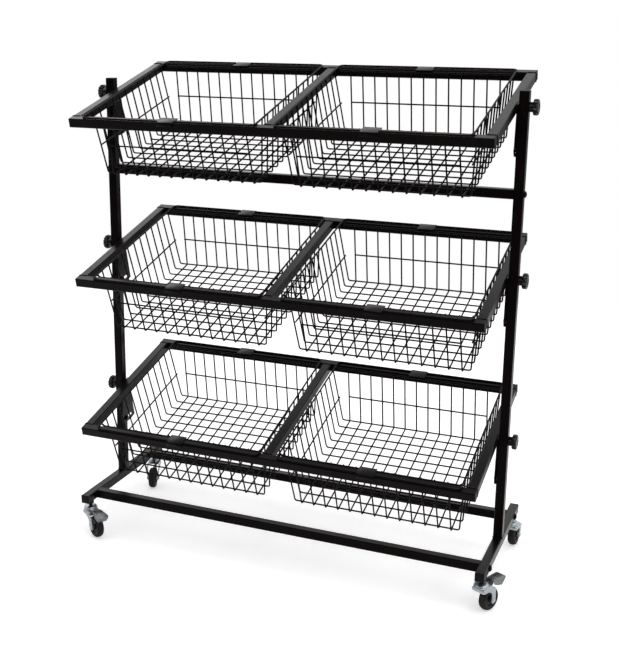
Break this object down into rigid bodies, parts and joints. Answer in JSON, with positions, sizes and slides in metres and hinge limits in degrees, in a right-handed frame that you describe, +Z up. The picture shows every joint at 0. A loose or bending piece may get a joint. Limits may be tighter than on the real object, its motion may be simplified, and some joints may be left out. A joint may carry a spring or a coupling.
{
  "type": "wire basket display stand",
  "caption": "Rolling display stand: black square-tube side frames on braked casters carry tilting trays of lift-out welded wire baskets.",
  "frame": {"origin": "on the floor, midway between the two side frames and under the uprights", "axes": "+X to the right seen from the front, +Y to the rear, +Z up"},
  "size_m": [1.2624, 0.5252, 1.3699],
  "materials": {
    "frame_paint": "satin black powder coat",
    "wire_paint": "satin black powder coat on wire",
    "black_steel": "blackened steel fasteners",
    "black_plastic": "moulded, slightly grained",
    "knob_plastic": "moulded, smooth",
    "zinc_plate": "bright zinc plate on pressed sheet",
    "black_rubber": "solid tyre on a moulded hub"
  },
  "bodies": {
    "stand": {"upright_left": "frame_paint", "foot_left": "frame_paint", "upright_right": "frame_paint", "foot_right": "frame_paint", "crossbar_upper": "frame_paint", "crossbar_front": "frame_paint", "crossbar_rear": "frame_paint", "crossbar_bolts": "black_steel", "end_caps": "black_plastic", "guide_studs": "black_steel", "caster_stems": "zinc_plate"},
    "tray_bottom": {"tray_bottom_front_rail": "frame_paint", "tray_bottom_rear_rail": "frame_paint", "tray_bottom_side_rail_left": "frame_paint", "tray_bottom_side_rail_right": "frame_paint", "tray_bottom_divider": "frame_paint", "tray_bottom_rail_caps": "black_plastic", "tray_bottom_tilt_plates": "frame_paint"},
    "basket_bottom_left": {"basket_bottom_left": "wire_paint", "hooks_bottom_left": "frame_paint"},
    "knob_bottom_left": {"knob_bottom_left": "knob_plastic"},
    "basket_bottom_right": {"basket_bottom_right": "wire_paint", "hooks_bottom_right": "frame_paint"},
    "knob_bottom_right": {"knob_bottom_right": "knob_plastic"},
    "tray_middle": {"tray_middle_front_rail": "frame_paint", "tray_middle_rear_rail": "frame_paint", "tray_middle_side_rail_left": "frame_paint", "tray_middle_side_rail_right": "frame_paint", "tray_middle_divider": "frame_paint", "tray_middle_rail_caps": "black_plastic", "tray_middle_tilt_plates": "frame_paint"},
    "basket_middle_left": {"basket_middle_left": "wire_paint", "hooks_middle_left": "frame_paint"},
    "knob_middle_left": {"knob_middle_left": "knob_plastic"},
    "basket_middle_right": {"basket_middle_right": "wire_paint", "hooks_middle_right": "frame_paint"},
    "knob_middle_right": {"knob_middle_right": "knob_plastic"},
    "tray_top": {"tray_top_front_rail": "frame_paint", "tray_top_rear_rail": "frame_paint", "tray_top_side_rail_left": "frame_paint", "tray_top_side_rail_right": "frame_paint", "tray_top_divider": "frame_paint", "tray_top_rail_caps": "black_plastic", "tray_top_tilt_plates": "frame_paint"},
    "basket_top_left": {"basket_top_left": "wire_paint", "hooks_top_left": "frame_paint"},
    "knob_top_left": {"knob_top_left": "knob_plastic"},
    "basket_top_right": {"basket_top_right": "wire_paint", "hooks_top_right": "frame_paint"},
    "knob_top_right": {"knob_top_right": "knob_plastic"},
    "caster_fork_front_left": {"caster_fork_front_left": "zinc_plate"},
    "caster_wheel_front_left": {"caster_wheel_front_left": "black_rubber"},
    "caster_pedal_front_left": {"caster_pedal_front_left": "zinc_plate"},
    "caster_fork_front_right": {"caster_fork_front_right": "zinc_plate"},
    "caster_wheel_front_right": {"caster_wheel_front_right": "black_rubber"},
    "caster_pedal_front_right": {"caster_pedal_front_right": "zinc_plate"},
    "caster_fork_rear_left": {"caster_fork_rear_left": "zinc_plate"},
    "caster_wheel_rear_left": {"caster_wheel_rear_left": "black_rubber"},
    "caster_fork_rear_right": {"caster_fork_rear_right": "zinc_plate"},
    "caster_wheel_rear_right": {"caster_wheel_rear_right": "black_rubber"}
  },
  "joints": [
    {"name": "tilt_bottom_tray", "type": "hinge", "parent": "stand", "child": "tray_bottom", "pos_m": [0, 0, 0.41], "axis": [1, 0, 0], "range_deg": [-14.4, 5.6]},
    {"name": "lift_bottom_left_basket", "type": "slide", "parent": "tray_bottom", "child": "basket_bottom_left", "axis": [0, -0.2487, 0.9686], "range_m": [0, 0.15]},
    {"name": "turn_bottom_left_knob", "type": "hinge", "parent": "stand", "child": "knob_bottom_left", "pos_m": [-0.6118, 0, 0.41], "axis": [-1, 0, 0], "range_deg": [0, 270]},
    {"name": "lift_bottom_right_basket", "type": "slide", "parent": "tray_bottom", "child": "basket_bottom_right", "axis": [0, -0.2487, 0.9686], "range_m": [0, 0.15]},
    {"name": "turn_bottom_right_knob", "type": "hinge", "parent": "stand", "child": "knob_bottom_right", "pos_m": [0.6118, 0, 0.41], "axis": [1, 0, 0], "range_deg": [0, 270]},
    {"name": "tilt_middle_tray", "type": "hinge", "parent": "stand", "child": "tray_middle", "pos_m": [0, 0, 0.85], "axis": [1, 0, 0], "range_deg": [-14.4, 5.6]},
    {"name": "lift_middle_left_basket", "type": "slide", "parent": "tray_middle", "child": "basket_middle_left", "axis": [0, -0.2487, 0.9686], "range_m": [0, 0.15]},
    {"name": "turn_middle_left_knob", "type": "hinge", "parent": "stand", "child": "knob_middle_left", "pos_m": [-0.6118, 0, 0.85], "axis": [-1, 0, 0], "range_deg": [0, 270]},
    {"name": "lift_middle_right_basket", "type": "slide", "parent": "tray_middle", "child": "basket_middle_right", "axis": [0, -0.2487, 0.9686], "range_m": [0, 0.15]},
    {"name": "turn_middle_right_knob", "type": "hinge", "parent": "stand", "child": "knob_middle_right", "pos_m": [0.6118, 0, 0.85], "axis": [1, 0, 0], "range_deg": [0, 270]},
    {"name": "tilt_top_tray", "type": "hinge", "parent": "stand", "child": "tray_top", "pos_m": [0, 0, 1.29], "axis": [1, 0, 0], "range_deg": [-14.4, 5.6]},
    {"name": "lift_top_left_basket", "type": "slide", "parent": "tray_top", "child": "basket_top_left", "axis": [0, -0.2487, 0.9686], "range_m": [0, 0.15]},
    {"name": "turn_top_left_knob", "type": "hinge", "parent": "stand", "child": "knob_top_left", "pos_m": [-0.6118, 0, 1.29], "axis": [-1, 0, 0], "range_deg": [0, 270]},
    {"name": "lift_top_right_basket", "type": "slide", "parent": "tray_top", "child": "basket_top_right", "axis": [0, -0.2487, 0.9686], "range_m": [0, 0.15]},
    {"name": "turn_top_right_knob", "type": "hinge", "parent": "stand", "child": "knob_top_right", "pos_m": [0.6118, 0, 1.29], "axis": [1, 0, 0], "range_deg": [0, 270]},
    {"name": "swivel_front_left_caster", "type": "hinge", "parent": "stand", "child": "caster_fork_front_left", "pos_m": [-0.5875, -0.1975, 0.088], "axis": [0, 0, 1], "continuous": true},
    {"name": "roll_front_left_wheel", "type": "hinge", "parent": "caster_fork_front_left", "child": "caster_wheel_front_left", "pos_m": [-0.55824, -0.21578, 0.0325], "axis": [0.5299, 0.848, 0], "continuous": true},
    {"name": "press_front_left_pedal", "type": "hinge", "parent": "caster_fork_front_left", "child": "caster_pedal_front_left", "pos_m": [-0.56715, -0.21022, 0.07], "axis": [0.5299, 0.848, 0], "range_deg": [0, 20]},
    {"name": "swivel_front_right_caster", "type": "hinge", "parent": "stand", "child": "caster_fork_front_right", "pos_m": [0.5875, -0.1975, 0.088], "axis": [0, 0, 1], "continuous": true},
    {"name": "roll_front_right_wheel", "type": "hinge", "parent": "caster_fork_front_right", "child": "caster_wheel_front_right", "pos_m": [0.60181, -0.16611, 0.0325], "axis": [-0.91, 0.4147, 0], "continuous": true},
    {"name": "press_front_right_pedal", "type": "hinge", "parent": "caster_fork_front_right", "child": "caster_pedal_front_right", "pos_m": [0.59745, -0.17566, 0.07], "axis": [-0.91, 0.4147, 0], "range_deg": [0, 20]},
    {"name": "swivel_rear_left_caster", "type": "hinge", "parent": "stand", "child": "caster_fork_rear_left", "pos_m": [-0.5875, 0.1975, 0.088], "axis": [0, 0, 1], "continuous": true},
    {"name": "roll_rear_left_wheel", "type": "hinge", "parent": "caster_fork_rear_left", "child": "caster_wheel_rear_left", "pos_m": [-0.57627, 0.16488, 0.0325], "axis": [0.9455, 0.3256, 0], "continuous": true},
    {"name": "swivel_rear_right_caster", "type": "hinge", "parent": "stand", "child": "caster_fork_rear_right", "pos_m": [0.5875, 0.1975, 0.088], "axis": [0, 0, 1], "continuous": true},
    {"name": "roll_rear_right_wheel", "type": "hinge", "parent": "caster_fork_rear_right", "child": "caster_wheel_rear_right", "pos_m": [0.59051, 0.23187, 0.0325], "axis": [-0.9962, 0.0872, 0], "continuous": true}
  ]
}
